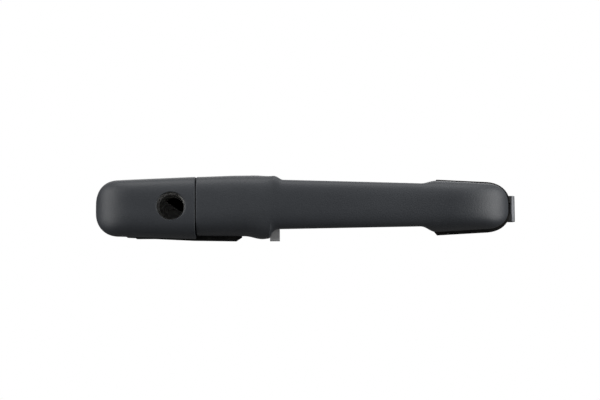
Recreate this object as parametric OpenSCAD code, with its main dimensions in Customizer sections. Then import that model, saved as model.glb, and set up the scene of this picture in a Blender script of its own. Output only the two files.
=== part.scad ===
// Car door pull handle with key cap, carrier, release lever and lock coupling.
// X runs along the handle towards its pivot, Z is up, the door's outer skin is the plane Y = 0
// and the outer face looks to -Y. The origin is on the axis of the lock bore. Millimetres.

/* [Key cap] */
// Length of the cap from the parting gap to its round end
cap_length = 60.6; // [45:0.1:80]
// Half height of the cap where its round end begins
cap_half_height = 16.8; // [12:0.1:22]
// Distance of the cap's face from the door skin
cap_depth = 20.6; // [14:0.1:28]
// Radius of the key hole in the cap
key_hole_r = 8.4; // [6:0.1:11]

/* [Grab] */
// Length of the grab from the parting gap to its front end
grab_length = 187.6; // [150:0.1:220]
// Half height of the bar next to the rear foot
bar_half_height = 14.7; // [10:0.1:18]
// Distance of the bar's face from the door skin
bar_depth = 25.2; // [20:0.1:32]
// Distance of the finger side of the bar from the door skin
finger_depth = 11.5; // [10:0.1:14]
// Wall thickness of the two shells and the cap
wall = 2.4; // [1.6:0.1:3]
// Width of the parting gap between cap and grab
parting_gap = 0.6; // [0.4:0.1:1.5]

/* [Hinge] */
// Distance of the hinge axis from the lock axis
hinge_x = 205; // [180:0.1:230]
// Depth of the hinge axis behind the door skin
hinge_y = 8; // [6:0.1:12]
// Radius of the hinge bar
hinge_r = 2.7; // [2:0.05:3.5]
// Half length of the hinge bar
hinge_half = 7.8; // [6:0.1:10]

/* [Release lever] */
// Depth of the lever's axis behind the skin
lever_y = 18; // [15:0.1:22]
// Height of the lever's axis
lever_z = -11; // [-13:0.1:-9]
// Length of the arm that the pull leg moves
lever_arm = 28; // [24:0.1:30]
// Tilt of that arm from upright at rest, in degrees
lever_tilt = 26.5; // [20:0.5:32]
// Radius of the pin it turns on
lever_pin_r = 1.5; // [1.2:0.05:2]

/* [Lock] */
// Bore for the lock barrel
lock_bore_r = 7.3; // [5:0.1:9]
// Depth of that bore from the front of the sleeve
lock_bore_length = 17.2; // [10:0.1:22]
// Radius of the coupling disc
coupling_r = 5.22; // [4:0.02:6]
// Bore of the threaded inserts
insert_bore_r = 2.5; // [2:0.1:3]

/* [Hidden] */
$fn = 64;
run = 0.05;
gap = 0.3;
eps = 0.5;

skin_gap = 1.5;
skirt_inset = 0.4;
end_power = 2.4;
face_power = 2.2;
dome_power = 4;
arc_steps = 21;
cap_steps = 36;
end_steps = 12;

cap_right = 14.4;
cap_left = cap_right - cap_length;
cap_round_x = -31;
cap_face_x = -22;
cap_growth = 1.7;

grab_left = cap_right + parting_gap;
grab_right = grab_left + grab_length;
foot_top = 18.9;
foot_bottom = 16.9;
flare_bottom = 19.1;
fillet_x = 64.7;
fillet_r = 5.6;
bar_start_x = 65;
bar_taper = 0.0226;
bar_rise = 0.7;
front_start_x = 149;
front_full_x = 158.6;
front_half = 15.05;
front_taper = 0.051;
front_round_x = 187;
front_round_half = 13.6;
front_face_x = 165;
front_face_depth = 24;
foot_face_depth = 21;

tray_left = 56;
tray_right = 154;
tray_wall = 2;
tray_power = 3;
foot_inner_depth = 3.6;

gasket_t = 1.2;
seat_front = -3.2;
seat_hole_z = 9.6;
seat_screw_x = 22;
buffer_x = 38;
buffer_z = 11.2;
plate_y0 = 2.5;
plate_y1 = 5.5;
ledge_y = -12.6;
sleeve_front = -11;
sleeve_r = 10;
sleeve_rear = 22;
clamp_y = 16;
ring_y = 4;
ring_r = 0.85;
shaft_r = 3;
shaft_end = 33;
lever_hub_r = 3.2;
arm_x0 = 41;
arm_x1 = 48;
rod_y = lever_y + 20;
leg_x0 = 51.5;
leg_x1 = 54.5;
nose_y = 36.2;
nose_x = 45;
core_y0 = -18.4;
core_y1 = -14.6;
flange_y1 = -11.4;
rail_y0 = 20;
rail_y1 = 24;
rail_half = 8;
rear_insert = [-21, 12.5];
lower_insert = [18, -12.8];
front_insert_x = 172;
insert_r = 3.6;
insert_length = 8;
core_screw_x = [36, 46, 168, 178];
shell_screw_x = [82, 136];

plastic_black = [0.06, 0.06, 0.065];
painted_grey = [0.21, 0.22, 0.235];
rubber_black = [0.04, 0.04, 0.04];
zinc_grey = [0.55, 0.56, 0.58];
steel_grey = [0.62, 0.63, 0.65];
brass_yellow = [0.72, 0.58, 0.28];
clip_orange = [0.75, 0.22, 0.08];

// ---- outline of cap and grab; w is how far inside the outer surface ----

function share(a, b, x) = min(1, max(0, (x - a) / (b - a)));
function blend(a, b, x) = let (t = share(a, b, x)) t * t * (3 - 2 * t);
function arch(t, n) = pow(max(0, 1 - pow(min(1, abs(t)), n)), 1 / n);

function cap_half(x, w) =
  x >= cap_round_x
  ? cap_half_height + cap_growth * share(cap_round_x, cap_right, x) - w
  : (cap_half_height - w) * arch((cap_round_x - x) / (cap_round_x - cap_left - w), end_power);

function cap_face(x, w) =
  x >= cap_face_x
  ? -cap_depth + w - 0.4 * share(cap_face_x, cap_right, x)
  : -skin_gap - (cap_depth - skin_gap - w)
    * arch((cap_face_x - x) / (cap_face_x - cap_left - w), face_power);

function rise(x) = bar_rise * (1 - share(bar_start_x, front_start_x, x));
function bar_half(x) = bar_half_height - bar_taper * (x - bar_start_x);
function front_foot(x) = front_half - front_taper * (x - front_full_x);

function front_outline(x, w) =
  x >= front_round_x
  ? (front_round_half - w) * arch((x - front_round_x) / (grab_right - front_round_x - w), end_power)
  : bar_half(x) + (front_foot(x) - bar_half(x)) * blend(front_start_x, front_full_x, x) - w;

function rear_top(x) = 18.4 + 0.6 * share(grab_left, 37, x);
function rear_bottom(x) =
  foot_bottom - 0.4 + 0.4 * share(grab_left, 43.4, x)
  + (flare_bottom - foot_bottom) * blend(43.4, 56, x);

function grab_top(x, w) =
  x < 70
  ? rear_top(x) - w - (rear_top(x) - bar_half(x) - rise(x)) * blend(60.5, 67, x)
  : front_outline(x, w) + rise(x);

function fillet(x) =
  flare_bottom + eps - sqrt(max(0, fillet_r * fillet_r - pow(fillet_x - x, 2)));

function grab_bottom(x, w) =
  x < fillet_x - fillet_r ? rear_bottom(x) - w
  : x < fillet_x ? min(flare_bottom, fillet(x)) - w
  : front_outline(x, w) - rise(x);

function grab_face(x, w) =
  x < front_face_x
  ? -foot_face_depth - (bar_depth - foot_face_depth) * blend(grab_left, 75, x)
    + (bar_depth - front_face_depth) * blend(120, front_face_x, x) + w
  : -skin_gap - (front_face_depth - skin_gap - w)
    * arch((x - front_face_x) / (grab_right - front_face_x - w), face_power);

function parting(x) =
  -skin_gap - 14 * (blend(50, 64, x) - blend(148, 160, x));

function skirt(x) = 1.2 + 1.3 * (1 - blend(50, 64, x)) + 3.3 * blend(148, 162, x);

function finger_side(x) =
  -foot_inner_depth
  - (finger_depth - foot_inner_depth) * (blend(54, 70, x) - blend(142, 156, x));

// One half section: skirt, dome, skirt
function dome(x, top, bottom, face, rim, skirt_d, n) =
  let (
    mid = (top - bottom) / 2,
    half = (top + bottom) / 2,
    inset = min(skirt_inset, half / 8),
    wide = max(rim - skirt_d, (face + rim) / 2)
  )
  concat(
    [[x, rim, mid + half - inset]],
    [for (i = [0:arc_steps]) let (a = 180 * i / arc_steps, c = cos(a))
      [x, wide + (face - wide) * pow(abs(sin(a)), 2 / n),
       mid + half * sign(c) * pow(abs(c), 2 / n)]],
    [[x, rim, mid - half + inset]]
  );

function cap_stations(w) =
  [for (i = [0:cap_steps])
    cap_right - w - (cap_length - 2 * w) * sin(88.65 * i / cap_steps)];

function run_of(a, b, count) = [for (i = [0:count - 1]) a + (b - a) * i / count];

function grab_stations(w) = concat(
  run_of(grab_left + w, 48, 7),
  run_of(48, 59.4, 9),
  run_of(59.4, 62, 7),
  run_of(62, 70, 8),
  run_of(70, 144, 10),
  run_of(144, 164, 13),
  run_of(164, front_round_x, 8),
  [for (i = [0:end_steps])
    front_round_x + (grab_right - front_round_x - w) * sin(88.4 * i / end_steps)]
);

function tray_stations(w) = concat(
  run_of(tray_left + w, 59.4, 4),
  run_of(59.4, 62, 6),
  run_of(62, 70, 7),
  run_of(70, 142, 8),
  run_of(142, tray_right - w, 8),
  [tray_right - w]
);

function cap_skin(w) =
  [for (x = cap_stations(w))
    dome(x, cap_half(x, w), cap_half(x, w), cap_face(x, w), -skin_gap, 2.5, dome_power)];

function grab_skin(w) =
  [for (x = grab_stations(w))
    dome(x, grab_top(x, w), grab_bottom(x, w), grab_face(x, w), parting(x), skirt(x), dome_power)];

function tray_skin(w) =
  [for (x = tray_stations(w))
    dome(x, grab_top(x, w + skirt_inset + gap), grab_bottom(x, w + skirt_inset + gap),
         finger_side(x) - w, parting(x) + gap, 0, tray_power)];

// A sheet between two skins of matching sections, closed at its rim and both ends
module shell_between(outer, inner, turned) {
  m = len(outer);
  p = len(outer[0]);
  inside = m * p;
  both = concat([for (s = outer) each s], [for (s = inner) each s]);
  skins = [for (i = [0:m - 2]) for (j = [0:p - 2]) let (a = i * p + j, b = a + p)
    each [[a, b, b + 1], [a, b + 1, a + 1],
          [inside + a, inside + b + 1, inside + b], [inside + a, inside + a + 1, inside + b + 1]]];
  rims = [for (i = [0:m - 2]) let (a = i * p, b = a + p, c = a + p - 1, d = b + p - 1)
    each [[a, inside + a, inside + b], [a, inside + b, b],
          [c, inside + d, inside + c], [c, d, inside + d]]];
  last = (m - 1) * p;
  caps = [for (j = [0:p / 2 - 2]) let (a = j, b = j + 1, c = p - 2 - j, d = p - 1 - j)
    each [[a, b, c], [a, c, d],
          [inside + a, inside + c, inside + b], [inside + a, inside + d, inside + c],
          [last + a, last + c, last + b], [last + a, last + d, last + c],
          [inside + last + a, inside + last + b, inside + last + c],
          [inside + last + a, inside + last + c, inside + last + d]]];
  feet = [[0, p - 1, inside + p - 1], [0, inside + p - 1, inside],
          [last, inside + last + p - 1, last + p - 1],
          [last, inside + last, inside + last + p - 1]];
  every = concat(skins, rims, caps, feet);
  polyhedron(both, turned ? [for (f = every) [f[0], f[2], f[1]]] : every, convexity = 6);
}

// ---- helpers ----

// A rod along Y from y0 to y1
module y_rod(x, z, y0, y1, r) {
  translate([x, y0, z])
    rotate([-90, 0, 0])
      cylinder(h = y1 - y0, r = r);
}

// A rod along X from x0 to x1
module x_rod(y, z, x0, x1, r) {
  translate([x0, y, z])
    rotate([0, 90, 0])
      cylinder(h = x1 - x0, r = r);
}

module box(x0, x1, y0, y1, z0, z1) {
  translate([x0, y0, z0])
    cube([x1 - x0, y1 - y0, z1 - z0]);
}

// A plate whose outline is given in X and Z
module plate_xz(points, y0, y1) {
  translate([0, y1, 0])
    rotate([90, 0, 0])
      linear_extrude(height = y1 - y0)
        polygon(points);
}

// A wire along a list of points, eight-sided
module wire(path, r) {
  sides = 8;
  m = len(path);
  rings = [for (i = [0:m - 1]) let (
      ahead = path[min(m - 1, i + 1)] - path[max(0, i - 1)],
      t = ahead / norm(ahead),
      ref = abs(t[0]) > 0.8 ? [0, 0, 1] : [1, 0, 0],
      n1 = cross(t, ref) / norm(cross(t, ref)),
      n2 = cross(t, n1))
    [for (k = [0:sides - 1]) path[i] + r * (cos(360 * k / sides) * n1 + sin(360 * k / sides) * n2)]];
  tube = [for (i = [0:m - 2]) for (k = [0:sides - 1]) let (
      a = i * sides + k, b = i * sides + (k + 1) % sides)
    each [[a, b + sides, b], [a, a + sides, b + sides]]];
  last = (m - 1) * sides;
  ends = [for (k = [1:sides - 2]) each [[0, k, k + 1], [last, last + k + 1, last + k]]];
  polyhedron([for (s = rings) each s], concat(tube, ends), convexity = 8);
}

// A pan-head screw along Y; its head is at the +Y end and reaches from seat_y to seat_y + head
module y_screw(x, z, tip_y, seat_y, shank_r, head_r, head) {
  difference() {
    union() {
      y_rod(x, z, tip_y, seat_y, shank_r);
      y_rod(x, z, seat_y, seat_y + head, head_r);
    }
    translate([x, seat_y + head + eps, z])
      rotate([90, 0, 0])
        cylinder(h = eps + head * 0.6, r = shank_r * 0.75, $fn = 6);
  }
}

// ---- pieces fixed to the door ----

module carrier_frame() {
  color(plastic_black)
    difference() {
      union() {
        plate_xz([[-28, -12], [-22, -17.5], [40, -17.5], [43, -14.6], [64, -14.6], [64, 17],
                  [60, 19.2], [-22, 17.5], [-28, 12]], plate_y0, plate_y1);
        y_rod(0, 0, plate_y0, 14, sleeve_r + 2.4);
        box(-30, -8, plate_y0, 22, -7, 7);
        box(24, 27, plate_y0, lever_y, lever_z - lever_hub_r, lever_z + lever_hub_r);
        x_rod(lever_y, lever_z, 24, 27, lever_hub_r);
        box(57.5, 60.5, plate_y0, lever_y, lever_z - lever_hub_r, lever_z + lever_hub_r);
        x_rod(lever_y, lever_z, 57.5, 60.5, lever_hub_r);
        y_rod(rear_insert[0], rear_insert[1], plate_y0, plate_y1 + insert_length + 1, 5);
        y_rod(lower_insert[0], lower_insert[1], plate_y0, plate_y1 + insert_length + 1, 4.4);
        box(60, 64, plate_y0, rail_y1, -rail_half, rail_half);
        box(60, 198, rail_y0, rail_y1, -rail_half, rail_half);
        box(162, 198, plate_y0, rail_y1, -rail_half, rail_half);
        plate_xz([[160, -10], [163, -12], [196, -12], [199, -9], [199, 9], [196, 12],
                  [163, 12], [160, 10]], plate_y0, plate_y1);
        y_rod(front_insert_x, 0, rail_y0, rail_y1 + 6, 5.5);
        box(197, hinge_x + 0.4, hinge_y - 4.4, hinge_y + 4.4, -hinge_half + 0.2, hinge_half - 0.2);
        for (x = [70:14:154])
          box(x, x + 1.6, rail_y1 - 1, rail_y1 + 3, -rail_half, rail_half);
        box(64, 162, rail_y1 - 1, rail_y1 + 3, -0.8, 0.8);
      }
      y_rod(0, 0, 0, 30, sleeve_r + 0.4);
      x_rod(clamp_y, 0, -31, 0, 3.2);
      box(-27, -22.8, clamp_y - 5.1, clamp_y + 10, -5.1, 5.1);
      box(37.5, 57.3, 0, plate_y1 + 1, -6, 17.4);
      x_rod(lever_y, lever_z, 20, 62, lever_pin_r + run);
      y_rod(rear_insert[0], rear_insert[1], plate_y1, 20, insert_r + run);
      y_rod(lower_insert[0], lower_insert[1], plate_y1, 20, insert_r + run);
      y_rod(front_insert_x, 0, rail_y1 + 6 - insert_length, rail_y1 + 7, insert_r + run);
      for (z = [-seat_hole_z, seat_hole_z])
        y_rod(seat_screw_x, z, 0, 8, 1.5);
      box(165, 195, plate_y1, rail_y0 - 2, -rail_half + 2.2, -3.6);
      box(181, 210, 0, 18, -3.6, 3.6);
      box(165, 178, 0, rail_y0 - 2, -3.6, 6);
      translate([hinge_x, hinge_y, -12])
        cylinder(h = 24, r = hinge_r + run);
      box(hinge_x, hinge_x + 6, hinge_y - 2.2, hinge_y + 2.2, -12, 12);
    }
}

module rear_seat() {
  color(painted_grey)
    difference() {
      union() {
        box(18.4, 60, seat_front, -gasket_t, -13.2, 13.2);
        plate_xz([[58.8, -19.5], [64.7, -19.5], [64.7, 16.4], [59.6, 18.3], [58.8, 18.3]],
                 seat_front, -0.2);
        plate_xz([[58.8, -19.5], [64.7, -19.5], [64.7, -9.6], [58.8, -9.6]], -1, 2.3);
        for (z = [-seat_hole_z, seat_hole_z])
          y_rod(seat_screw_x, z, seat_front, plate_y0, 3.2);
      }
      box(30, 58.8, -5, 0, -9, 9);
      for (z = [-seat_hole_z, seat_hole_z])
        y_rod(seat_screw_x, z, -5, 5, 1.7);
    }
}

module rear_gasket() {
  color(rubber_black)
    difference() {
      plate_xz([[-40, -9], [-27, -17.2], [13, -19.2], [38.5, -19.7], [42, -17.4], [42, 17.4],
                [38.5, 19.6], [13, 19], [-27, 17], [-40, 9]], -gasket_t, 0);
      plate_xz([[-34, -7], [-24, -13.2], [38, -13.2], [38, 13.2], [-24, 13.2], [-34, 7]], -3, 3);
    }
}

module front_gasket() {
  color(rubber_black)
    difference() {
      plate_xz(concat([[157, -13.4], [159.6, -16.7]],
                      [for (i = [0:24]) let (a = -90 + 180 * i / 24)
                        [front_round_x + 17.2 * pow(abs(cos(a)), 0.83),
                         (a < 0 ? 15.2 : 15.7) * sign(a) * pow(abs(sin(a)), 0.83)]],
                      [[159.6, 17.2], [157, 13.9]]), -gasket_t, 0);
      plate_xz([[163, -11], [188, -10], [196, -6], [196, -3.7], [206, -3.7], [206, 3.7],
                [196, 3.7], [196, 6], [188, 10], [163, 11]], -3, 3);
    }
}

module rest_buffers() {
  color(rubber_black)
    for (z = [-buffer_z, buffer_z])
      y_rod(buffer_x, z, flange_y1 + gap, seat_front, 1.9);
}

module seat_screws() {
  color(steel_grey)
    for (z = [-seat_hole_z, seat_hole_z])
      mirror([0, 1, 0])
        y_screw(seat_screw_x, z, -4.6, -seat_front, 1.45, 2.9, 1.6);
}

module fixing_inserts() {
  color(brass_yellow) {
    insert_at(rear_insert[0], rear_insert[1], plate_y1 + 1);
    insert_at(lower_insert[0], lower_insert[1], plate_y1 + 1);
    insert_at(front_insert_x, 0, rail_y1 + 6 - insert_length);
  }
}

module insert_at(x, z, y0) {
  difference() {
    y_rod(x, z, y0, y0 + insert_length, insert_r);
    y_rod(x, z, y0 + 1, y0 + insert_length + 1, insert_bore_r);
  }
}

module lock_cap() {
  color(painted_grey)
    difference() {
      shell_between(cap_skin(0), cap_skin(wall), true);
      y_rod(0, 0, -40, -12, key_hole_r);
    }
}

module lock_bezel() {
  color(zinc_grey)
    difference() {
      y_rod(0, 0, -cap_depth + wall + 0.9, sleeve_front, key_hole_r + 1.3);
      y_rod(0, 0, -30, ledge_y, key_hole_r);
      translate([0, ledge_y - 0.01, 0])
        rotate([-90, 0, 0])
          cylinder(h = 0.8, r1 = key_hole_r - 0.2, r2 = lock_bore_r + 0.2);
      y_rod(0, 0, ledge_y, 0, lock_bore_r + 0.2);
      box(-0.9, 0.9, ledge_y - 1, 0, 6, key_hole_r);
    }
}

module lock_sleeve() {
  color(zinc_grey)
    difference() {
      y_rod(0, 0, sleeve_front, sleeve_rear, sleeve_r);
      y_rod(0, 0, sleeve_front - 1, sleeve_front + lock_bore_length, lock_bore_r);
      y_rod(0, 0, 0, sleeve_rear - 3, coupling_r + 0.08);
      y_rod(0, 0, 0, sleeve_rear + 1, shaft_r + run);
      x_rod(clamp_y, 0, -12, -7.6, 2);
      difference() {
        y_rod(0, 0, ring_y - 1, ring_y + 1, sleeve_r + 2);
        y_rod(0, 0, ring_y - 2, ring_y + 2, 8.6);
      }
    }
}

module sleeve_ring() {
  color(rubber_black)
    translate([0, ring_y, 0])
      rotate([90, 0, 0])
        rotate_extrude()
          translate([sleeve_r - 0.5, 0])
            circle(r = ring_r, $fn = 24);
}

module cap_screw() {
  color(steel_grey)
    difference() {
      union() {
        x_rod(clamp_y, 0, -34, -12, 2.5);
        x_rod(clamp_y, 0, -12.2, -8, 1.9);
        x_rod(clamp_y, 0, -37.5, -33.8, 4.4);
      }
      translate([-38, clamp_y, 0])
        rotate([0, 90, 0])
          cylinder(h = 2.6, r = 2.3, $fn = 6);
    }
}

module clamp_nut() {
  color(steel_grey)
    difference() {
      box(-26.9, -22.9, clamp_y - 5, clamp_y + 5, -5, 5);
      x_rod(clamp_y, 0, -30, -20, 2.5 + run);
    }
}

module lever_pin() {
  color(steel_grey)
    difference() {
      x_rod(lever_y, lever_z, 22, 62.5, lever_pin_r);
      for (x = [22.8, 61.1])
        difference() {
          x_rod(lever_y, lever_z, x, x + 0.7, lever_pin_r + 1);
          x_rod(lever_y, lever_z, x - 1, x + 2, lever_pin_r - 0.4);
        }
    }
}

module pin_clips() {
  color(steel_grey)
    for (x = [22.85, 61.15])
      difference() {
        x_rod(lever_y, lever_z, x, x + 0.6, 3);
        x_rod(lever_y, lever_z, x - 1, x + 2, lever_pin_r - 0.35);
        box(x - 1, x + 2, lever_y - 0.9, lever_y + 0.9, lever_z, lever_z + 5);
      }
}

module lever_spring() {
  turns = 5;
  coil_r = 4.2;
  start = -90;
  color(steel_grey)
    wire(concat(
      [[35.2, lever_y - 11.7, lever_z + coil_r], [35.2, lever_y - 6, lever_z + coil_r]],
      [for (i = [0:turns * 20]) let (a = 90 + 360 * i / 20)
        [35.2 + 4.6 * i / (turns * 20), lever_y + coil_r * cos(a), lever_z + coil_r * sin(a)]],
      [[39.8, lever_y + 4, lever_z + coil_r], [39.8, lever_y + 8.5, lever_z + coil_r + 2]]), 0.4);
}

module coupling_spring() {
  turns = 4;
  coil_r = 4.2;
  color(steel_grey)
    wire(concat(
      [[-8.4, sleeve_rear + 0.7, coil_r], [-4, sleeve_rear + 0.7, coil_r]],
      [for (i = [0:turns * 20]) let (a = 90 - 360 * i / 20)
        [coil_r * cos(a), sleeve_rear + 0.7 + 4.4 * i / (turns * 20), coil_r * sin(a)]],
      [[4, sleeve_rear + 5.1, coil_r], [7, sleeve_rear + 5.1, coil_r + 1]]), 0.4);
}

// ---- the grab ----

module grab_outer_shell() {
  color(painted_grey)
    shell_between(grab_skin(0), grab_skin(wall), false);
}

module grab_inner_shell() {
  color(plastic_black)
    difference() {
      shell_between(tray_skin(0), tray_skin(tray_wall), true);
      for (x = shell_screw_x) {
        y_rod(x, 0, -finger_depth - 0.9, 0, 3.3);
        y_rod(x, 0, -20, 0, 2);
      }
    }
}

module grab_core() {
  color(plastic_black)
    difference() {
      union() {
        box(30, 184, core_y0, core_y1, -6.5, 6.5);
        for (x = [64:12:148])
          box(x, x + 1.6, core_y0 - 2.6, core_y1, -8.6, 8.6);
        box(60, 150, core_y0 - 2.6, core_y1, -0.8, 0.8);
      }
      for (x = core_screw_x)
        y_rod(x, 0, core_y0 + 0.6, 0, 1.6);
      for (x = shell_screw_x)
        y_rod(x, 0, core_y0 + 0.6, 0, 1.6);
    }
}

module pull_leg() {
  color(zinc_grey)
    difference() {
      union() {
        box(31, leg_x1, core_y1, flange_y1, -12.8, 12.8);
        box(leg_x0, leg_x1, flange_y1 - 1, nose_y + 2, -5, 8);
        box(leg_x0, leg_x1, 31.5, nose_y + 2, 6, 18);
        box(nose_x, leg_x1, nose_y - 2, nose_y + 2, 12.6, 18);
        translate([nose_x, nose_y, 12.6])
          cylinder(h = 5.4, r = 2.5);
        box(44, leg_x0 + 1, flange_y1 - 1, -8, -5, -3.4);
        box(44, leg_x0 + 1, flange_y1 - 1, -8, 6.4, 8);
      }
      for (x = [core_screw_x[0], core_screw_x[1]])
        y_rod(x, 0, -20, 0, 2);
    }
}

module front_hook() {
  color(zinc_grey)
    difference() {
      union() {
        box(163, 184, core_y1, flange_y1, -6, 6);
        translate([0, 0, -3])
          linear_extrude(height = 6)
            polygon([[181, core_y1], [186, core_y1], [193.5, -6], [197.5, 1], [205, 5.4],
                     [205, 10.6], [196, 9], [189, 1.5], [181, -9]]);
        translate([hinge_x, hinge_y, -hinge_half])
          cylinder(h = 2 * hinge_half, r = hinge_r);
      }
      for (x = [core_screw_x[2], core_screw_x[3]])
        y_rod(x, 0, -20, 0, 2);
    }
}

module core_screws() {
  color(steel_grey)
    for (x = core_screw_x)
      y_screw(x, 0, core_y0 + 1, flange_y1, 1.55, 3, 1.8);
}

module shell_screws() {
  color(steel_grey)
    for (x = shell_screw_x)
      y_screw(x, 0, core_y0 + 1, -finger_depth - 0.9, 1.55, 3, 1.1);
}

// ---- the release lever ----

module release_lever() {
  color(zinc_grey)
    difference() {
      union() {
        x_rod(lever_y, lever_z, 27.5, 57, lever_hub_r);
        translate([0, lever_y, lever_z])
          rotate([-lever_tilt, 0, 0])
            box(arm_x0 + gap, arm_x1 - gap, -1.4, 1.4, 2, lever_arm - 1);
        x_rod(lever_y + lever_arm * sin(lever_tilt), lever_z + lever_arm * cos(lever_tilt),
              arm_x0, arm_x1, 2.5);
        box(30.3, 33.3, lever_y + 2, rod_y - 1, lever_z - 2.2, lever_z + 2.2);
        x_rod(rod_y, lever_z, 30, 33.6, 3);
      }
      x_rod(lever_y, lever_z, 20, 62, lever_pin_r + run);
      x_rod(rod_y, lever_z, 28, 36, 1.5 + run);
    }
}

module rod_clip() {
  color(clip_orange)
    difference() {
      union() {
        x_rod(rod_y, lever_z, 28.6, 34, 1.5);
        x_rod(rod_y, lever_z, 28.2, 29.6, 2.2);
        box(33.9, 39.9, rod_y - 3, rod_y + 3, lever_z - 3.2, lever_z + 3.2);
      }
      translate([36.9, rod_y, lever_z - 5])
        cylinder(h = 10, r = 1.6);
    }
}

// ---- the lock coupling ----

module lock_coupling() {
  color(zinc_grey)
    difference() {
      union() {
        y_rod(0, 0, sleeve_front + lock_bore_length + 0.5, 12, coupling_r);
        y_rod(0, 0, 11, shaft_end, shaft_r);
      }
      box(-3.6, 3.6, 5, 8.6, -0.8, 0.8);
      difference() {
        y_rod(0, 0, 31.3, 32.2, shaft_r + 2);
        y_rod(0, 0, 31, 33, shaft_r - 0.6);
      }
    }
}

module lock_lever() {
  color(steel_grey)
    difference() {
      union() {
        y_rod(0, 0, 28, 31.2, 5);
        box(-2.6, 2.6, 28.4, 30.8, 0, 16);
        y_rod(0, 16, 28.4, 30.8, 3.4);
      }
      y_rod(0, 0, 20, 40, shaft_r + 0.02);
      y_rod(0, 16, 20, 40, 1.6);
    }
}

module coupling_clip() {
  color(steel_grey)
    difference() {
      y_rod(0, 0, 31.35, 32.15, 5);
      y_rod(0, 0, 30, 34, shaft_r - 0.55);
      box(-1.6, 1.6, 30, 34, -6, 0);
    }
}

carrier_frame();
rear_seat();
rear_gasket();
front_gasket();
rest_buffers();
seat_screws();
fixing_inserts();
lock_cap();
lock_bezel();
lock_sleeve();
sleeve_ring();
cap_screw();
clamp_nut();
lever_pin();
pin_clips();
lever_spring();
coupling_spring();
grab_outer_shell();
grab_inner_shell();
grab_core();
pull_leg();
front_hook();
core_screws();
shell_screws();
release_lever();
rod_clip();
lock_coupling();
lock_lever();
coupling_clip();
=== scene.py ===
import logging
import math
from dataclasses import dataclass
from enum import Enum

import bmesh
import bpy
from mathutils import Matrix, Vector


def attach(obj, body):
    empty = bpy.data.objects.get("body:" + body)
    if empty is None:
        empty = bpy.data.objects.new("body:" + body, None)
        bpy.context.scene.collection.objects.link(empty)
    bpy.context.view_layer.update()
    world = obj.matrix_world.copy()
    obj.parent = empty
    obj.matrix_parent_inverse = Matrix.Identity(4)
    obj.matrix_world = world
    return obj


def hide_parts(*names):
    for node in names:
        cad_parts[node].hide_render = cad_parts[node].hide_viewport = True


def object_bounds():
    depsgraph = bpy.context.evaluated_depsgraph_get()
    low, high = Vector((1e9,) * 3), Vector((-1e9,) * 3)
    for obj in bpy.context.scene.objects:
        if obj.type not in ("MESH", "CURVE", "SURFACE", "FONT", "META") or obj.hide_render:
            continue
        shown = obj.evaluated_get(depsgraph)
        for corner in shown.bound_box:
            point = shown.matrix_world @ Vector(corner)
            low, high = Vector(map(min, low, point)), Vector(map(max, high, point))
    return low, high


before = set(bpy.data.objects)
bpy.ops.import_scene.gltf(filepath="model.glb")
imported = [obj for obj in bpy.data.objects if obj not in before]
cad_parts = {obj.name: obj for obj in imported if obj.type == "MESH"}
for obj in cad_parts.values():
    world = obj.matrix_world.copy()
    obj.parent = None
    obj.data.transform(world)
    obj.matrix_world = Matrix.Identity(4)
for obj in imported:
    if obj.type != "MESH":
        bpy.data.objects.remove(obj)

CAD_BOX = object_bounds()
MM = 0.001
MERGE = 0.002 * MM
FLAT = math.radians(1.5)
SHARP = math.radians(32)
BEVELLED = math.radians(34)
SHELL_SCREWS = (82, 136)
SHELL_SEAT_Y = -12.4
LOG = logging.getLogger("handle")

Point = tuple[float, float, float]
Colour = tuple[float, float, float]


class Body(Enum):
    """The moving bodies of the frame."""

    CARRIER = "carrier"
    GRAB = "grab"
    BELLCRANK = "bellcrank"
    COUPLING = "coupling"


class Slot(Enum):
    """The record's material slots."""

    GRAINED = "grained_plastic"
    FRAME = "frame_plastic"
    SEAT = "seat_plastic"
    RUBBER = "rubber"
    ZINC = "zinc"
    BLACKENED = "blackened_zinc"
    STEEL = "steel"
    SPRING = "spring_steel"
    BRASS = "brass"
    CLIP = "clip_plastic"


# ---- node trees ----


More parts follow.
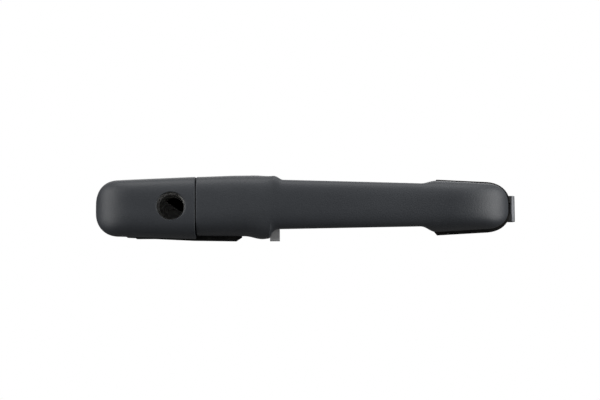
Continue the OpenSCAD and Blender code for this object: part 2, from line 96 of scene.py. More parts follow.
class Value:
    """A shader value that takes part in Python arithmetic."""

    def __init__(self, graph: "Graph", socket: bpy.types.NodeSocket) -> None:
        """Wraps a socket of a graph.

        Args:
            graph: the graph it belongs to.
            socket: the socket that gives it.
        """
        self.graph = graph
        self.socket = socket

    def _with(self, operation: str, other: object, swapped: bool = False) -> "Value":
        """Adds a Math node.

        Args:
            operation: the Math node's operation.
            other: a Value or a number.
            swapped: True if other is the first operand.

        Returns:
            The node's result.
        """
        first, second = (other, self) if swapped else (self, other)
        made = self.graph.node("ShaderNodeMath", {"operation": operation}, {0: first, 1: second})
        return Value(self.graph, made.outputs[0])

    def __add__(self, other: object) -> "Value":
        """Self plus other.

        Args:
            other: a Value or a number.

        Returns:
            The sum.
        """
        return self._with("ADD", other)

    def __radd__(self, other: object) -> "Value":
        """Other plus self.

        Args:
            other: a Value or a number.

        Returns:
            The sum.
        """
        return self._with("ADD", other, True)

    def __sub__(self, other: object) -> "Value":
        """Self minus other.

        Args:
            other: a Value or a number.

        Returns:
            The difference.
        """
        return self._with("SUBTRACT", other)

    def __rsub__(self, other: object) -> "Value":
        """Other minus self.

        Args:
            other: a Value or a number.

        Returns:
            The difference.
        """
        return self._with("SUBTRACT", other, True)

    def __mul__(self, other: object) -> "Value":
        """Self times other.

        Args:
            other: a Value or a number.

        Returns:
            The product.
        """
        return self._with("MULTIPLY", other)

    def __rmul__(self, other: object) -> "Value":
        """Other times self.

        Args:
            other: a Value or a number.

        Returns:
            The product.
        """
        return self._with("MULTIPLY", other, True)

    def __truediv__(self, other: object) -> "Value":
        """Self divided by other.

        Args:
            other: a Value or a number.

        Returns:
            The quotient.
        """
        return self._with("DIVIDE", other)

    def __rtruediv__(self, other: object) -> "Value":
        """Other divided by self.

        Args:
            other: a Value or a number.

        Returns:
            The quotient.
        """
        return self._with("DIVIDE", other, True)

    def __pow__(self, other: object) -> "Value":
        """Self to the power of other.

        Args:
            other: a Value or a number.

        Returns:
            The power.
        """
        return self._with("POWER", other)


class Graph:
    """A node tree that is built with one method for every kind of node."""

    def __init__(self, tree: bpy.types.NodeTree) -> None:
        """Takes the tree to build in.

        Args:
            tree: the tree.
        """
        self.tree = tree

    def node(self, kind: str, settings: dict | None = None, sockets: dict | None = None) -> bpy.types.Node:
        """Adds a node, sets its settings and then its sockets.

        Args:
            kind: the node's type.
            settings: attributes of the node; "stops" holds a ramp's (place, colour) pairs.
            sockets: input name or number to a constant, a socket or a Value.

        Returns:
            The node.
        """
        made = self.tree.nodes.new(kind)
        for key, value in (settings or {}).items():
            if key == "stops":
                self._stops(made.color_ramp, value)
            else:
                setattr(made, key, value)
        for key, value in (sockets or {}).items():
            given = value.socket if isinstance(value, Value) else value
            if isinstance(given, bpy.types.NodeSocket):
                self.tree.links.new(given, made.inputs[key])
            elif given is not None:
                made.inputs[key].default_value = given
        return made

    @staticmethod
    def _stops(ramp: bpy.types.ColorRamp, stops: list[tuple[float, Colour]]) -> None:
        """Gives a ramp its stops.

        Args:
            ramp: the ramp.
            stops: (place, colour) pairs, in rising order.
        """
        while len(ramp.elements) < len(stops):
            ramp.elements.new(0.5)
        for element, (place, colour) in zip(ramp.elements, stops):
            element.position = place
            element.color = (*colour, 1.0)


class Paint(Graph):
    """A material under construction."""

    def __init__(self, name: str) -> None:
        """Starts an empty material of that name.

        Args:
            name: the material's name.
        """
        self.material = bpy.data.materials.new(name)
        self.material.use_nodes = True
        super().__init__(self.material.node_tree)
        self.tree.nodes.clear()
        self.place = self.node("ShaderNodeTexCoord").outputs["Object"]

    def noise(self, scale: float, detail: float = 3.0, stretch: Point = (1.0, 1.0, 1.0)) -> Value:
        """A noise from 0 to 1 about 0.5.

        Args:
            scale: noise cells per metre.
            detail: octaves.
            stretch: how much closer the cells lie along each axis.

        Returns:
            The noise.
        """
        turned = self.node("ShaderNodeMapping", {}, {"Vector": self.place, "Scale": stretch})
        made = self.node(
            "ShaderNodeTexNoise", {}, {"Vector": turned.outputs[0], "Scale": scale, "Detail": detail}
        )
        return Value(self, made.outputs[0])

    def cells(self, scale: float) -> Value:
        """Distance to the nearest of scattered points, scale of them per metre.

        Args:
            scale: points per metre.

        Returns:
            The distance.
        """
        made = self.node("ShaderNodeTexVoronoi", {}, {"Vector": self.place, "Scale": scale})
        return Value(self, made.outputs["Distance"])

    def range(self, value: Value, low: float, high: float, to_low: float, to_high: float) -> Value:
        """Maps a value from one range onto another, held at its ends.

        Args:
            value: what is mapped.
            low: start of its range.
            high: end of its range.
            to_low: result at the start.
            to_high: result at the end.

        Returns:
            The mapped value.
        """
        made = self.node(
            "ShaderNodeMapRange",
            {"clamp": True},
            {"Value": value, "From Min": low, "From Max": high, "To Min": to_low, "To Max": to_high},
        )
        return Value(self, made.outputs[0])

    def tint(
        self, share: Value, first: Colour | bpy.types.NodeSocket, second: Colour | bpy.types.NodeSocket
    ) -> bpy.types.NodeSocket:
        """Mixes two colours.

        Args:
            share: 0 for the first colour, 1 for the second.
            first: a colour, or a socket that gives one.
            second: a colour, or a socket that gives one.

        Returns:
            The mixed colour.
        """
        ends = [(*end, 1) if isinstance(end, tuple) else end for end in (first, second)]
        made = self.node("ShaderNodeMix", {"data_type": "RGBA"}, {0: share, 6: ends[0], 7: ends[1]})
        return made.outputs[2]

    def bump(self, height: Value, strength: float, depth: float) -> bpy.types.NodeSocket:
        """A normal from a height.

        Args:
            height: the height, from 0 to 1.
            strength: share of the bump.
            depth: what a height of 1 stands for, in metres.

        Returns:
            The normal.
        """
        made = self.node(
            "ShaderNodeBump", {}, {"Strength": strength, "Distance": depth, "Height": height}
        )
        return made.outputs[0]

    def finish(self, sockets: dict) -> bpy.types.Material:
        """Ends the material in its shader.

        Args:
            sockets: the shader's inputs.

        Returns:
            The material.
        """
        shader = self.node("ShaderNodeBsdfPrincipled", {}, sockets)
        self.node("ShaderNodeOutputMaterial", {}, {"Surface": shader.outputs[0]})
        return self.material


# ---- finishes ----


@dataclass(frozen=True)
class MouldedPlastic:
    """Moulded plastic with a fine even grain.

    Attributes:
        name: the material's name.
        dark: colour in the hollows of the grain.
        light: colour on its crests.
        shine: lowest and highest roughness.
        grain: grains per metre.
        depth: grain depth in metres.
        gloss: specular level.
    """

    name: str
    dark: Colour
    light: Colour
    shine: tuple[float, float] = (0.38, 0.52)
    grain: float = 1500.0
    depth: float = 0.00004
    gloss: float = 0.5

    def material(self) -> bpy.types.Material:
        """Makes the finish.

        Returns:
            The material.
        """
        paint = Paint(self.name)
        fine = paint.noise(self.grain, 2.0)
        pebble = paint.cells(self.grain * 0.8)
        flow = paint.noise(26.0, 4.0, (0.4, 1.0, 1.6))
        scuff = paint.range(paint.noise(90.0, 6.0, (0.25, 1.0, 2.4)), 0.62, 0.72, 0.0, 1.0)
        height = fine * 0.6 + pebble * 0.4
        shade = paint.range(flow * 0.7 + fine * 0.3, 0.3, 0.7, 0.0, 1.0)
        low, high = self.shine
        roughness = paint.range(flow * 0.6 + fine * 0.4, 0.3, 0.7, low, high) + scuff * 0.05
        return paint.finish(
            {
                "Base Color": paint.tint(shade, self.dark, self.light),
                "Roughness": roughness,
                "Specular IOR Level": self.gloss,
                "Normal": paint.bump(height, 0.5, self.depth),
            }
        )


@dataclass(frozen=True)
class Rubber:
    """Matt rubber with a little dust.

    Attributes:
        name: the material's name.
        base: colour of the clean rubber.
        dust: colour of the dust.
    """

    name: str
    base: Colour
    dust: Colour

    def material(self) -> bpy.types.Material:
        """Makes the finish.

        Returns:
            The material.
        """
        paint = Paint(self.name)
        fine = paint.noise(1100.0, 3.0)
        dust = paint.range(paint.noise(160.0, 6.0), 0.5, 0.75, 0.0, 0.5)
        return paint.finish(
            {
                "Base Color": paint.tint(dust, self.base, self.dust),
                "Roughness": 0.75 + fine * 0.2,
                "Specular IOR Level": 0.12,
                "Normal": paint.bump(fine, 0.35, 0.00004),
            }
        )


@dataclass(frozen=True)
class BareMetal:
    """Cast, plated or turned metal.

    Attributes:
        name: the material's name.
        dark: colour of the dull patches.
        light: colour of the bright patches.
        shine: lowest and highest roughness.
        texture: surface marks per metre.
        run: how much closer the marks lie along each axis, for drawn or turned metal.
        depth: depth of the marks in metres.
        painted_shade_span: start and end along the handle, in metres, of a stretch painted dark as shade, for
            the shaded web behind the hook's bar.
    """

    name: str
    dark: Colour
    light: Colour
    shine: tuple[float, float]
    texture: float = 700.0
    run: Point = (1.0, 1.0, 1.0)
    depth: float = 0.00003
    painted_shade_span: tuple[float, float] | None = None

    def material(self) -> bpy.types.Material:
        """Makes the finish.

        Returns:
            The material.
        """
        paint = Paint(self.name)
        marks = paint.noise(self.texture, 4.0, self.run)
        cloud = paint.noise(110.0, 4.0)
        low, high = self.shine
        colour = paint.tint(paint.range(cloud, 0.3, 0.7, 0.0, 1.0), self.dark, self.light)
        # Painted shade: between start and end along X the colour is darkened to near black, standing for the
        # shade on the hook's web behind its bar.
        if self.painted_shade_span:
            start, end = self.painted_shade_span
            fade, painted_shade = 0.0003, (0.004, 0.004, 0.004)
            along = Value(paint, paint.node("ShaderNodeSeparateXYZ", {}, {0: paint.place}).outputs[0])
            in_painted_shade = paint.range(along, start, start + fade, 0.0, 1.0)
            colour = paint.tint(in_painted_shade * paint.range(along, end - fade, end, 0.94, 0.0), colour, painted_shade)
        return paint.finish(
            {
                "Base Color": colour,
                "Metallic": 1.0,
                "Roughness": paint.range(cloud * 0.5 + marks * 0.5, 0.3, 0.7, low, high),
                "Normal": paint.bump(marks, 0.4, self.depth),
            }
        )


@dataclass(frozen=True)
class DippedZincWithPaintedLight:
    """Black-dipped zinc with painted light in the lock's bore: rings rubbed through to the metal but kept
    only on the lit side as a painted highlight, and a lighter band painted deep in the bore.

    Attributes:
        name: the material's name.
        skin: colour of the dip.
        painted_bore_light: lighter colour painted deep in the bore, standing in for light that reaches into
            the hole.
        metal: colour of the metal under it.
        deep: front, full and rear Y of the zone painted lighter as light, in metres.
        bore: radius of that zone in metres.
        painted_shade_side: direction, across and up, of the side where the rings are left dark as painted
            shade.
        wear_and_highlight_rings: inner and outer radius and rear end, in metres, of each ring rubbed through
            to the metal, shown only on the lit side as a painted highlight.
    """

    name: str
    skin: Colour
    painted_bore_light: Colour
    metal: Colour
    deep: Point = (-0.013, -0.004, 0.009)
    bore: float = 0.0088
    painted_shade_side: tuple[float, float] = (-0.95, -0.3)
    wear_and_highlight_rings: tuple[Point, ...] = ((0.0074, 0.0086, -0.0108), (0.0047, 0.0054, 0.0072))

    def material(self) -> bpy.types.Material:
        """Makes the finish.

        Returns:
            The material.
        """
        paint = Paint(self.name)
        parts = paint.node("ShaderNodeSeparateXYZ", {}, {0: paint.place}).outputs
        x, y, z = (Value(paint, part) for part in parts)
        radius = (x * x + z * z) ** 0.5
        step = 0.0002
        chips = paint.range(paint.noise(900.0, 4.0), 0.36, 0.5, 0.25, 1.0)
        wear_and_highlight = chips * 0.0
        # Rings of bare metal, partly wear and partly a painted highlight on the ledges.
        for low, high, rear in self.wear_and_highlight_rings:
            inside = paint.range(radius, low, low + step, 0.0, 1.0)
            outside = paint.range(radius, high - step, high, 1.0, 0.0)
            before = paint.range(y, rear, rear + step, 1.0, 0.0)
            wear_and_highlight = wear_and_highlight + inside * outside * before * chips
        # Painted shade: the rings fade out towards the given side, so only the lit side shows them bright.
        across, up = self.painted_shade_side
        side = (x * across + z * up) / radius
        wear_and_highlight = wear_and_highlight * paint.range(side, 0.35, 0.85, 1.0, 0.0)
        fine = paint.noise(800.0, 3.0)
        # Painted light: a band deep in the bore is painted lighter than the dip, standing in for light that
        # reaches into the hole.
        front, full, rear = self.deep
        painted_light_share = paint.range(y, front, full, 0.0, 1.0) * paint.range(y, rear - step, rear, 1.0, 0.0)
        painted_light_share = painted_light_share * paint.range(radius, self.bore - step, self.bore, 1.0, 0.0)
        dip_with_painted_light = paint.tint(painted_light_share, self.skin, self.painted_bore_light)
        return paint.finish(
            {
                "Base Color": paint.tint(wear_and_highlight, dip_with_painted_light, self.metal),
                "Metallic": wear_and_highlight * 0.9,
                "Roughness": 0.42 + fine * 0.2,
                "Normal": paint.bump(fine, 0.35, 0.00003),
            }
        )


class Finishes:
    """Every finish of the handle, made once."""

    def __init__(self) -> None:
        """Makes the materials."""
        kinds = {
            Slot.GRAINED: MouldedPlastic(
                "grained_dark_plastic", (0.017, 0.0195, 0.0235), (0.029, 0.0325, 0.038), (0.46, 0.58),
                1600.0, 0.0002
            ),
            Slot.FRAME: MouldedPlastic(
                "glass_filled_black_plastic", (0.012, 0.012, 0.013), (0.02, 0.02, 0.021), (0.45, 0.65), 700.0
            ),
            Slot.SEAT: MouldedPlastic(
                "satin_grey_plastic", (0.46, 0.46, 0.465), (0.54, 0.54, 0.545), (0.4, 0.55), 1000.0
            ),
            Slot.RUBBER: Rubber("black_rubber", (0.009, 0.009, 0.009), (0.03, 0.029, 0.027)),
            # Cast zinc with a painted shadow on the hook's web, from X 187 to 205.2 mm.
            Slot.ZINC: BareMetal(
                "cast_zinc", (0.08, 0.082, 0.087), (0.13, 0.133, 0.14), (0.45, 0.6), painted_shade_span=(0.187, 0.2052)
            ),
            # Dipped zinc whose bore carries painted light: ring highlights on the lit side and a lighter band
            # deep inside.
            Slot.BLACKENED: DippedZincWithPaintedLight(
                "black_dipped_zinc", (0.03, 0.03, 0.029), (0.34, 0.34, 0.32), (0.6, 0.6, 0.58)
            ),
            Slot.STEEL: BareMetal(
                "plated_steel", (0.5, 0.5, 0.48), (0.66, 0.66, 0.64), (0.2, 0.38), 900.0, (1, 3, 1)
            ),
            Slot.SPRING: BareMetal(
                "drawn_wire", (0.3, 0.3, 0.31), (0.45, 0.45, 0.46), (0.22, 0.36), 1200.0
            ),
            Slot.BRASS: BareMetal(
                "turned_brass", (0.5, 0.34, 0.13), (0.68, 0.5, 0.22), (0.2, 0.35), 900.0, (1, 4, 1)
            ),
            Slot.CLIP: MouldedPlastic(
                "orange_clip_plastic", (0.42, 0.06, 0.02), (0.55, 0.09, 0.03), (0.3, 0.42), 900.0
            ),
        }
        self.made = {slot: kind.material() for slot, kind in kinds.items()}

    def dress(self, piece: bpy.types.Object, slot: Slot) -> None:
        """Gives a piece one finish.

        Args:
            piece: the piece.
            slot: the finish.
        """
        piece.data.materials.clear()
        piece.data.materials.append(self.made[slot])


# ---- mesh making ----


class Bench:
    """Makes meshes into finished pieces on their bodies."""

    def __init__(self, finishes: Finishes) -> None:
        """Takes the finishes.

        Args:
            finishes: every finish.
        """
        self.finishes = finishes

    @staticmethod
    def thing(name: str, mesh: bpy.types.Mesh) -> bpy.types.Object:
        """Puts a mesh into the scene.

        Args:
            name: name of the piece.
            mesh: its mesh.

        Returns:
            The object.
        """
        made = bpy.data.objects.new(name, mesh)
        bpy.context.scene.collection.objects.link(made)
        return made

    def from_faces(self, name: str, points: list[Point], faces: list[tuple[int, ...]]) -> bpy.types.Object:
        """Makes an object whose faces look outwards.

        Args:
            name: name of the piece.
            points: its points, in millimetres.
            faces: its faces.

        Returns:
            The object.
        """
        mesh = bpy.data.meshes.new(name)
        mesh.from_pydata([Vector(p) * MM for p in points], [], faces)
        made = self.thing(name, mesh)
        self.tidy(made)
        return made

    @staticmethod
    def tidy(piece: bpy.types.Object, turn: bool = True, dissolve: bool = False) -> None:
        """Merges doubles, turns the faces outwards and marks sharp edges.

        Args:
            piece: the piece.
            turn: True to recalculate the normals.
            dissolve: True to join the triangles of flat faces.
        """
        form = bmesh.new()
        form.from_mesh(piece.data)
        bmesh.ops.remove_doubles(form, verts=form.verts, dist=MERGE)
        if dissolve:
            bmesh.ops.dissolve_limit(
                form, angle_limit=FLAT, verts=form.verts, edges=form.edges
            )
        if turn:
            bmesh.ops.recalc_face_normals(form, faces=form.faces)
        for face in form.faces:
            face.smooth = True
        for edge in form.edges:
            edge.smooth = edge.is_manifold and edge.calc_face_angle(0.0) < SHARP
        form.to_mesh(piece.data)
        form.free()

    def cut(self, piece: bpy.types.Object, *cutters: bpy.types.Object) -> None:
        """Cuts pieces out of a piece and removes the cutters.

        Args:
            piece: what is cut.
            cutters: what is taken out of it.
        """
        for cutter in cutters:
            step = piece.modifiers.new("cut", "BOOLEAN")
            step.operation = "DIFFERENCE"
            step.solver = "EXACT"
            step.object = cutter
        self.settle(piece)
        for cutter in cutters:
            bpy.data.objects.remove(cutter)
        self.tidy(piece, turn=False)

    @staticmethod
    def settle(piece: bpy.types.Object) -> None:
        """Turns a piece's modifiers into plain mesh.

        Args:
            piece: the piece.
        """
        graph = bpy.context.evaluated_depsgraph_get()
        mesh = bpy.data.meshes.new_from_object(piece.evaluated_get(graph))
        piece.modifiers.clear()
        piece.data = mesh

    def place(self, piece: bpy.types.Object, body: Body, slot: Slot, *nodes: str) -> bpy.types.Object:
        """Puts a finished piece on its body in place of CAD nodes.

        Args:
            piece: the piece.
            body: the body it moves with.
            slot: its finish.
            nodes: the nodes it stands for.

        Returns:
            The piece.
        """
        low, high = CAD_BOX
        for vertex in piece.data.vertices:
            held = [min(max(part, least), most) for part, least, most in zip(vertex.co, low, high)]
            if held != list(vertex.co):
                vertex.co = held
        self.finishes.dress(piece, slot)
        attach(piece, body.value)
        if nodes:
            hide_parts(*nodes)
        LOG.info("%s: %d faces on %s", piece.name, len(piece.data.polygons), body.value)
        return piece

    def refined(self, node: str, body: Body, slot: Slot, edge: float, levels: int = 2) -> bpy.types.Object:
        """Makes a CAD node's shape again with its edges rounded.

        Args:
            node: the node.
            body: the body it moves with.
            slot: its finish.
            edge: edge radius in millimetres.
            levels: steps across the rounding.

        Returns:
            The piece.
        """
        piece = self.thing(node + "_moulded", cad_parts[node].data.copy())
        self.tidy(piece, turn=False, dissolve=True)
        rounding = piece.modifiers.new("edges", "BEVEL")
        rounding.width = edge * MM
        rounding.segments = levels
        rounding.limit_method = "ANGLE"
        rounding.angle_limit = BEVELLED
        rounding.use_clamp_overlap = True
        rounding.miter_outer = "MITER_ARC"
        rounding.harden_normals = True
        return self.place(piece, body, slot, node)

    def turned(self, name: str, profile: list[tuple[float, float]], steps: int = 96,
               centre: tuple[float, float] = (0.0, 0.0)) -> bpy.types.Object:
        """A closed profile turned about an axis along Y.

        Args:
            name: name of the piece.
            profile: (radius, Y) pairs of a closed outline, in millimetres.
            steps: facets round the axis.
            centre: X and Z of the axis.

        Returns:
            The object.
        """
        points, faces = [], []
        count = len(profile)
        for i in range(steps):
            angle = 2 * math.pi * i / steps
            for radius, y in profile:
                points.append(
                    (centre[0] + radius * math.cos(angle), y, centre[1] + radius * math.sin(angle))
                )
        for i in range(steps):
            for j in range(count):
                a, b = i * count + j, i * count + (j + 1) % count
                c, d = ((i + 1) % steps) * count + (j + 1) % count, ((i + 1) % steps) * count + j
                faces.append((a, b, c, d))
        return self.from_faces(name, points, faces)


def rounded(
    profile: list[tuple[float, float]], radius: float, steps: int = 4
) -> list[tuple[float, float]]:
    """Rounds every corner of a closed outline.

    Args:
        profile: the outline's corners.
        radius: rounding radius, made smaller where an edge is short.
        steps: points across a corner, less one.

    Returns:
        The rounded outline.
    """
    made = []
    count = len(profile)
    for i, corner in enumerate(profile):
        here = Vector(corner)
        back, ahead = Vector(profile[i - 1]) - here, Vector(profile[(i + 1) % count]) - here
        reach = min(radius, back.length * 0.45, ahead.length * 0.45)
        if min(abs(corner[0]), 1.0) < 1e-6 or reach < 1e-4:
            made.append(corner)
            continue
        first, last = here + back.normalized() * reach, here + ahead.normalized() * reach
        for k in range(steps + 1):
            t = k / steps
            spot = first * (1 - t) ** 2 + here * (2 * t * (1 - t)) + last * t**2
            made.append((spot.x, spot.y))
    return made


# ---- the handle's outer form ----


def share(low: float, high: float, x: float) -> float:
    """How far x lies from low to high, held between 0 and 1.

    Args:
        low: start of the range.
        high: end of the range.
        x: the value.

    Returns:
        The share.
    """
    return min(1.0, max(0.0, (x - low) / (high - low)))


def blend(low: float, high: float, x: float) -> float:
    """A smooth step from 0 at low to 1 at high.

    Args:
        low: start of the range.
        high: end of the range.
        x: the value.

    Returns:
        The step, from 0 to 1.
    """
    t = share(low, high, x)
    return t * t * (3 - 2 * t)


def arch(t: float, power: float) -> float:
    """Height of a rounded arch at t, 1 in its middle and 0 at t = 1.

    Args:
        t: place on the arch, from -1 to 1.
        power: 2 for a round arch, more for a flatter one.

    Returns:
        The height, from 0 to 1.
    """
    return max(0.0, 1 - min(1.0, abs(t)) ** power) ** (1 / power)


@dataclass(frozen=True)
class HandleForm:
    """The outline of cap and grab in millimetres, as in the CAD frame."""

    wall: float = 2.4
    skin_gap: float = 1.5
    end_power: float = 2.4
    face_power: float = 2.2
    dome_power: float = 4.0
    cap_right: float = 14.4
    cap_left: float = -46.2
    cap_round_x: float = -31.0
    cap_face_x: float = -22.0
    cap_half_height: float = 16.8
    cap_growth: float = 1.7
    cap_depth: float = 20.6
    cap_skirt: float = 2.5
    grab_left: float = 15.0
    grab_right: float = 202.6
    bar_depth: float = 25.2
    foot_depth: float = 21.0
    front_face_depth: float = 24.0
    front_face_x: float = 165.0
    front_round_x: float = 187.0
    front_round_half: float = 13.6
    bar_half_height: float = 14.7
    bar_taper: float = 0.0226
    bar_rise: float = 0.7
    front_half: float = 15.05
    front_taper: float = 0.051
    foot_bottom: float = 16.9
    flare_bottom: float = 19.1
    fillet_x: float = 64.7
    fillet_r: float = 5.6
    bar_start_x: float = 65.0
    foot_end_x: float = 70.0
    front_start_x: float = 149.0
    front_full_x: float = 158.6
    cap_swell: float = 0.4
    foot_top: float = 18.4
    foot_growth: float = 0.6
    foot_full_x: float = 37.0
    foot_lift: float = 0.4
    flare_from_x: float = 43.4
    flare_to_x: float = 56.0
    fillet_drop: float = 0.5
    dip_from_x: float = 50.0
    dip_x: float = 60.2
    shoulder_x: float = 60.5
    shoulder_end_x: float = 67.0
    shoulder_dip: float = 1.1
    face_full_x: float = 75.0
    face_fall_x: float = 120.0
    parting_rise: float = 14.0
    parting_rear: tuple[float, float] = (50.0, 64.0)
    parting_front: tuple[float, float] = (148.0, 160.0)
    skirt_least: float = 1.2
    skirt_rear: float = 1.3
    skirt_front: float = 3.3
    skirt_front_x: tuple[float, float] = (148.0, 162.0)
    finger_rear: tuple[float, float] = (54.0, 70.0)
    finger_front: tuple[float, float] = (142.0, 156.0)
    finger_depth: float = 11.5
    foot_inner_depth: float = 3.6

    def cap_half(self, x: float, inset: float) -> float:
        """Half height of the cap at x, inset from its outer surface.

        Args:
            x: place along the handle, in millimetres.
            inset: distance inside the outer surface, in millimetres.

        Returns:
            Millimetres.
        """
        if x >= self.cap_round_x:
            grown = self.cap_growth * share(self.cap_round_x, self.cap_right, x)
            return self.cap_half_height + grown - inset
        reach = self.cap_round_x - self.cap_left - inset
        return (self.cap_half_height - inset) * arch((self.cap_round_x - x) / reach, self.end_power)

    def cap_face(self, x: float, inset: float) -> float:
        """Y of the cap's face at x.

        Args:
            x: place along the handle, in millimetres.
            inset: distance inside the outer surface, in millimetres.

        Returns:
            Millimetres.
        """
        if x >= self.cap_face_x:
            return -self.cap_depth + inset - self.cap_swell * share(self.cap_face_x, self.cap_right, x)
        reach = self.cap_face_x - self.cap_left - inset
        height = self.cap_depth - self.skin_gap - inset
        return -self.skin_gap - height * arch((self.cap_face_x - x) / reach, self.face_power)

    def bar_half(self, x: float) -> float:
        """Half height of the bar at x.

        Args:
            x: place along the handle, in millimetres.

        Returns:
            Millimetres.
        """
        return self.bar_half_height - self.bar_taper * (x - self.bar_start_x)

    def rise(self, x: float) -> float:
        """How far the bar's middle lies above the handle's axis at x.

        Args:
            x: place along the handle, in millimetres.

        Returns:
            Millimetres.
        """
        return self.bar_rise * (1 - share(self.bar_start_x, self.front_start_x, x))

    def front_outline(self, x: float, inset: float) -> float:
        """Half height of bar and front foot at x.

        Args:
            x: place along the handle, in millimetres.
            inset: distance inside the outer surface, in millimetres.

        Returns:
            Millimetres.
        """
        if x >= self.front_round_x:
            reach = self.grab_right - self.front_round_x - inset
            along = (x - self.front_round_x) / reach
            return (self.front_round_half - inset) * arch(along, self.end_power)
        foot = self.front_half - self.front_taper * (x - self.front_full_x)
        bar = self.bar_half(x)
        return bar + (foot - bar) * blend(self.front_start_x, self.front_full_x, x) - inset

    def grab_top(self, x: float, inset: float) -> float:
        """Height of the grab's upper outline at x.

        Args:
            x: place along the handle, in millimetres.
            inset: distance inside the outer surface, in millimetres.

        Returns:
            Millimetres.
        """
        if x >= self.foot_end_x:
            return self.front_outline(x, inset) + self.rise(x)
        foot = self.foot_top + self.foot_growth * share(self.grab_left, self.foot_full_x, x)
        dip = blend(self.dip_from_x, self.dip_x, x) * (1 - blend(self.dip_x, self.shoulder_end_x, x))
        foot -= self.shoulder_dip * dip
        fall = blend(self.shoulder_x, self.shoulder_end_x, x)
        return foot - inset - (foot - self.bar_half(x) - self.rise(x)) * fall

    def grab_bottom(self, x: float, inset: float) -> float:
        """Depth of the grab's lower outline at x, as a positive number.

        Args:
            x: place along the handle, in millimetres.
            inset: distance inside the outer surface, in millimetres.

        Returns:
            Millimetres.
        """
        if x < self.fillet_x - self.fillet_r:
            flare = (self.flare_bottom - self.foot_bottom) * blend(self.flare_from_x, self.flare_to_x, x)
            lift = self.foot_lift * (1 - share(self.grab_left, self.flare_from_x, x))
            return self.foot_bottom - lift + flare - inset
        if x < self.fillet_x:
            drop = math.sqrt(max(0.0, self.fillet_r**2 - (self.fillet_x - x) ** 2))
            return min(self.flare_bottom, self.flare_bottom + self.fillet_drop - drop) - inset
        return self.front_outline(x, inset) - self.rise(x)

    def grab_face(self, x: float, inset: float) -> float:
        """Y of the grab's face at x.

        Args:
            x: place along the handle, in millimetres.
            inset: distance inside the outer surface, in millimetres.

        Returns:
            Millimetres.
        """
        if x < self.front_face_x:
            rise = (self.bar_depth - self.foot_depth) * blend(self.grab_left, self.face_full_x, x)
            deep = self.bar_depth - self.front_face_depth
            fall = deep * blend(self.face_fall_x, self.front_face_x, x)
            return -self.foot_depth - rise + fall + inset
        reach = self.grab_right - self.front_face_x - inset
        height = self.front_face_depth - self.skin_gap - inset
        return -self.skin_gap - height * arch((x - self.front_face_x) / reach, self.face_power)

    def parting(self, x: float) -> float:
        """Y of the outer shell's rim at x.

        Args:
            x: place along the handle, in millimetres.

        Returns:
            Millimetres.
        """
        risen = blend(*self.parting_rear, x) - blend(*self.parting_front, x)
        return -self.skin_gap - self.parting_rise * risen

    def skirt(self, x: float) -> float:
        """Depth of the straight skirt below the widest line at x.

        Args:
            x: place along the handle, in millimetres.

        Returns:
            Millimetres.
        """
        rear = self.skirt_rear * (1 - blend(*self.parting_rear, x))
        return self.skirt_least + rear + self.skirt_front * blend(*self.skirt_front_x, x)

    def finger_side(self, x: float) -> float:
        """Y of the inner shell's finger side at x.

        Args:
            x: place along the handle, in millimetres.

        Returns:
            Millimetres.
        """
        rise = blend(*self.finger_rear, x) - blend(*self.finger_front, x)
        return -self.foot_inner_depth - (self.finger_depth - self.foot_inner_depth) * rise


@dataclass(frozen=True)
class Section:
    """One half-round section of a shell, from rim to rim."""

    x: float
    top: float
    bottom: float
    face: float
    rim: float
    skirt: float
    power: float

    def points(self, steps: int) -> list[Point]:
        """The section's points from the upper rim to the lower rim.

        Args:
            steps: parts that the arch is divided into.

        Returns:
            The points, evenly spaced along the arch.
        """
        middle, half = (self.top - self.bottom) / 2, (self.top + self.bottom) / 2
        lip = min(0.4, half / 8)
        if self.face < self.rim:
            wide = max(self.rim - self.skirt, (self.face + self.rim) / 2)
        else:
            wide = self.rim
        made = [(self.x, self.rim, middle + half - lip)]
        if self.skirt > 0:
            made.append((self.x, (self.rim + 2 * wide) / 3, middle + half - lip * 0.12))
        for z, y in even_arch(steps, self.power):
            made.append((self.x, wide + (self.face - wide) * y, middle + half * z))
        if self.skirt > 0:
            made.append((self.x, (self.rim + 2 * wide) / 3, middle - half + lip * 0.12))
        made.append((self.x, self.rim, middle - half + lip))
        return made


def even_arch(steps: int, power: float) -> list[tuple[float, float]]:
    """Points of a unit arch, evenly spaced along it.

    Args:
        steps: parts that the arch is divided into.
        power: 2 for a round arch, more for a flatter one.

    Returns:
        (across, up) pairs, from (1, 0) to (-1, 0).
    """
    fine = 1200
    spots = []
    for i in range(fine + 1):
        a = math.pi * i / fine
        across = math.copysign(abs(math.cos(a)) ** (2 / power), math.cos(a))
        spots.append((across, abs(math.sin(a)) ** (2 / power)))
    spots[0], spots[-1] = (1.0, 0.0), (-1.0, 0.0)
    run = [0.0]
    for a, b in zip(spots, spots[1:]):
        run.append(run[-1] + math.dist(a, b))
    made, at = [], 0
    for k in range(steps + 1):
        want = run[-1] * k / steps
        while at < fine and run[at + 1] < want:
            at += 1
        low, high = spots[at], spots[min(fine, at + 1)]
        gap = run[min(fine, at + 1)] - run[at]
        t = (want - run[at]) / gap if gap else 0.0
        made.append((low[0] + (high[0] - low[0]) * t, low[1] + (high[1] - low[1]) * t))
    return made


def eased(distance: float, radius: float) -> float:
    """How far a rounded edge lies inside the full form, at a distance from its end.

    Args:
        distance: distance from the end, in millimetres.
        radius: rounding radius in millimetres.

    Returns:
        The distance inwards, in millimetres.
    """
    if distance >= radius:
        return 0.0
    return radius - math.sqrt(max(0.0, radius**2 - (radius - distance) ** 2))


